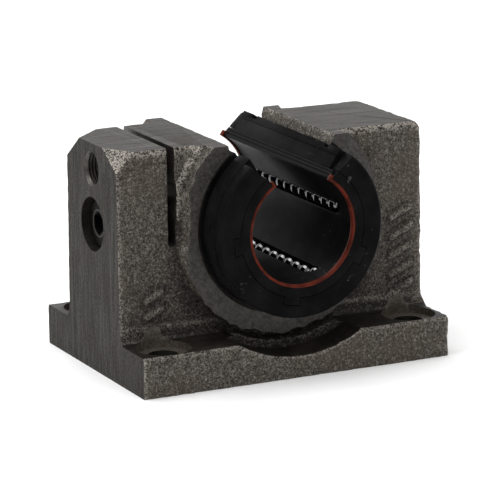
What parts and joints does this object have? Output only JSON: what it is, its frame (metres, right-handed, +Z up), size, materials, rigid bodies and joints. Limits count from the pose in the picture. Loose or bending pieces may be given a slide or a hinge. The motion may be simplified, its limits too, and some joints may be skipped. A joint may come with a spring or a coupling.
{
  "type": "linear ball bearing pillow block",
  "caption": "Cast pillow block, split for clearance adjustment, that holds an open recirculating linear ball bushing for a shaft supported from above.",
  "frame": {"origin": "on the underside of the base, straight below the shaft axis, halfway along the bushing", "axes": "+Y along the shaft axis, from the front end to the rear end; +Z up, out of the base and towards the gap for the shaft's support; the adjusting slit is on the -X side"},
  "size_m": [0.05, 0.036, 0.034],
  "materials": {
    "cast_iron": "sand-cast skin with machined top, ring faces and base",
    "black_plastic": "satin moulded",
    "red_brown_seal": "smooth",
    "black_seal": "smooth",
    "ball_steel": "polished bearing steel",
    "plate_steel": "ground",
    "black_oxide_steel": "black oxide"
  },
  "bodies": {
    "housing_body": {"housing": "cast_iron", "outer_sleeve": "black_plastic", "ball_retainer": "black_plastic", "front_end_ring": "black_plastic", "rear_end_ring": "black_plastic", "front_wiper_seal": "red_brown_seal", "rear_wiper_seal": "red_brown_seal", "left_side_seal": "black_seal", "right_side_seal": "black_seal"},
    "locking_screw_body": {"locking_screw": "black_oxide_steel"},
    "adjusting_screw_body": {"adjusting_screw": "black_oxide_steel"},
    "load_plate_1_body": {"load_plate_1": "plate_steel"},
    "load_row_1_body": {"load_row_1": "ball_steel"},
    "return_row_1_body": {"return_row_1": "ball_steel"},
    "front_turn_1_body": {"front_turn_1": "ball_steel"},
    "rear_turn_1_body": {"rear_turn_1": "ball_steel"},
    "load_plate_2_body": {"load_plate_2": "plate_steel"},
    "load_row_2_body": {"load_row_2": "ball_steel"},
    "return_row_2_body": {"return_row_2": "ball_steel"},
    "front_turn_2_body": {"front_turn_2": "ball_steel"},
    "rear_turn_2_body": {"rear_turn_2": "ball_steel"},
    "load_plate_3_body": {"load_plate_3": "plate_steel"},
    "load_row_3_body": {"load_row_3": "ball_steel"},
    "return_row_3_body": {"return_row_3": "ball_steel"},
    "front_turn_3_body": {"front_turn_3": "ball_steel"},
    "rear_turn_3_body": {"rear_turn_3": "ball_steel"},
    "load_plate_4_body": {"load_plate_4": "plate_steel"},
    "load_row_4_body": {"load_row_4": "ball_steel"},
    "return_row_4_body": {"return_row_4": "ball_steel"},
    "front_turn_4_body": {"front_turn_4": "ball_steel"},
    "rear_turn_4_body": {"rear_turn_4": "ball_steel"}
  },
  "joints": [
    {"name": "locking_screw_turn", "type": "hinge", "parent": "housing_body", "child": "locking_screw_body", "pos_m": [-0.02, 0, 0.022], "axis": [1, 0, 0], "continuous": true},
    {"name": "adjusting_screw_turn", "type": "hinge", "parent": "housing_body", "child": "adjusting_screw_body", "pos_m": [-0.019, 0, 0.0302], "axis": [1, 0, 0], "continuous": true},
    {"name": "load_plate_1_rock", "type": "hinge", "parent": "housing_body", "child": "load_plate_1_body", "pos_m": [0.01283, 0, 0.024], "axis": [0.1538, 0, -0.9881], "range_deg": [-0.5, 0.5]},
    {"name": "load_row_1_roll", "type": "slide", "parent": "load_plate_1_body", "child": "load_row_1_body", "axis": [0, 1, 0], "range_m": [-0.00121, 0.00121]},
    {"name": "return_row_1_roll", "type": "slide", "parent": "housing_body", "child": "return_row_1_body", "axis": [0, 1, 0], "range_m": [-0.00121, 0.00121]},
    {"name": "front_turn_1_roll", "type": "hinge", "parent": "housing_body", "child": "front_turn_1_body", "pos_m": [0.00926, -0.0121, 0.02513], "axis": [0.9951, 0, -0.099], "range_deg": [-45, 45]},
    {"name": "rear_turn_1_roll", "type": "hinge", "parent": "housing_body", "child": "rear_turn_1_body", "pos_m": [0.00926, 0.0121, 0.02513], "axis": [0.9951, 0, -0.099], "range_deg": [-45, 45]},
    {"name": "load_plate_2_rock", "type": "hinge", "parent": "housing_body", "child": "load_plate_2_body", "pos_m": [0.00586, 0, 0.01042], "axis": [-0.8922, 0, -0.4516], "range_deg": [-0.5, 0.5]},
    {"name": "load_row_2_roll", "type": "slide", "parent": "load_plate_2_body", "child": "load_row_2_body", "axis": [0, 1, 0], "range_m": [-0.00121, 0.00121]},
    {"name": "return_row_2_roll", "type": "slide", "parent": "housing_body", "child": "return_row_2_body", "axis": [0, 1, 0], "range_m": [-0.00121, 0.00121]},
    {"name": "front_turn_2_roll", "type": "hinge", "parent": "housing_body", "child": "front_turn_2_body", "pos_m": [0.00584, -0.0121, 0.01416], "axis": [0.2133, 0, -0.977], "range_deg": [-45, 45]},
    {"name": "rear_turn_2_roll", "type": "hinge", "parent": "housing_body", "child": "rear_turn_2_body", "pos_m": [0.00584, 0.0121, 0.01416], "axis": [0.2133, 0, -0.977], "range_deg": [-45, 45]},
    {"name": "load_plate_3_rock", "type": "hinge", "parent": "housing_body", "child": "load_plate_3_body", "pos_m": [-0.0092, 0, 0.01285], "axis": [-0.7052, 0, 0.709], "range_deg": [-0.5, 0.5]},
    {"name": "load_row_3_roll", "type": "slide", "parent": "load_plate_3_body", "child": "load_row_3_body", "axis": [0, 1, 0], "range_m": [-0.00121, 0.00121]},
    {"name": "return_row_3_roll", "type": "slide", "parent": "housing_body", "child": "return_row_3_body", "axis": [0, 1, 0], "range_m": [-0.00121, 0.00121]},
    {"name": "front_turn_3_roll", "type": "hinge", "parent": "housing_body", "child": "front_turn_3_body", "pos_m": [-0.00566, -0.0121, 0.01403], "axis": [-0.8632, 0, -0.5048], "range_deg": [-45, 45]},
    {"name": "rear_turn_3_roll", "type": "hinge", "parent": "housing_body", "child": "rear_turn_3_body", "pos_m": [-0.00566, 0.0121, 0.01403], "axis": [-0.8632, 0, -0.5048], "range_deg": [-45, 45]},
    {"name": "load_plate_4_rock", "type": "hinge", "parent": "housing_body", "child": "load_plate_4_body", "pos_m": [-0.01155, 0, 0.02792], "axis": [0.4564, 0, 0.8898], "range_deg": [-0.5, 0.5]},
    {"name": "load_row_4_roll", "type": "slide", "parent": "load_plate_4_body", "child": "load_row_4_body", "axis": [0, 1, 0], "range_m": [-0.00121, 0.00121]},
    {"name": "return_row_4_roll", "type": "slide", "parent": "housing_body", "child": "return_row_4_body", "axis": [0, 1, 0], "range_m": [-0.00121, 0.00121]},
    {"name": "front_turn_4_roll", "type": "hinge", "parent": "housing_body", "child": "front_turn_4_body", "pos_m": [-0.00933, -0.0121, 0.02491], "axis": [-0.7469, 0, 0.665], "range_deg": [-45, 45]},
    {"name": "rear_turn_4_roll", "type": "hinge", "parent": "housing_body", "child": "rear_turn_4_body", "pos_m": [-0.00933, 0.0121, 0.02491], "axis": [-0.7469, 0, 0.665], "range_deg": [-45, 45]}
  ],
  "couplings": [
    {"joint": "return_row_1_roll", "follows": "load_row_1_roll", "ratio": -1},
    {"joint": "front_turn_1_roll", "follows": "load_row_1_roll", "rad_per_m": 649},
    {"joint": "rear_turn_1_roll", "follows": "load_row_1_roll", "rad_per_m": 649},
    {"joint": "return_row_2_roll", "follows": "load_row_2_roll", "ratio": -1},
    {"joint": "front_turn_2_roll", "follows": "load_row_2_roll", "rad_per_m": 649},
    {"joint": "rear_turn_2_roll", "follows": "load_row_2_roll", "rad_per_m": 649},
    {"joint": "return_row_3_roll", "follows": "load_row_3_roll", "ratio": -1},
    {"joint": "front_turn_3_roll", "follows": "load_row_3_roll", "rad_per_m": 649},
    {"joint": "rear_turn_3_roll", "follows": "load_row_3_roll", "rad_per_m": 649},
    {"joint": "return_row_4_roll", "follows": "load_row_4_roll", "ratio": -1},
    {"joint": "front_turn_4_roll", "follows": "load_row_4_roll", "rad_per_m": 649},
    {"joint": "rear_turn_4_roll", "follows": "load_row_4_roll", "rad_per_m": 649}
  ]
}
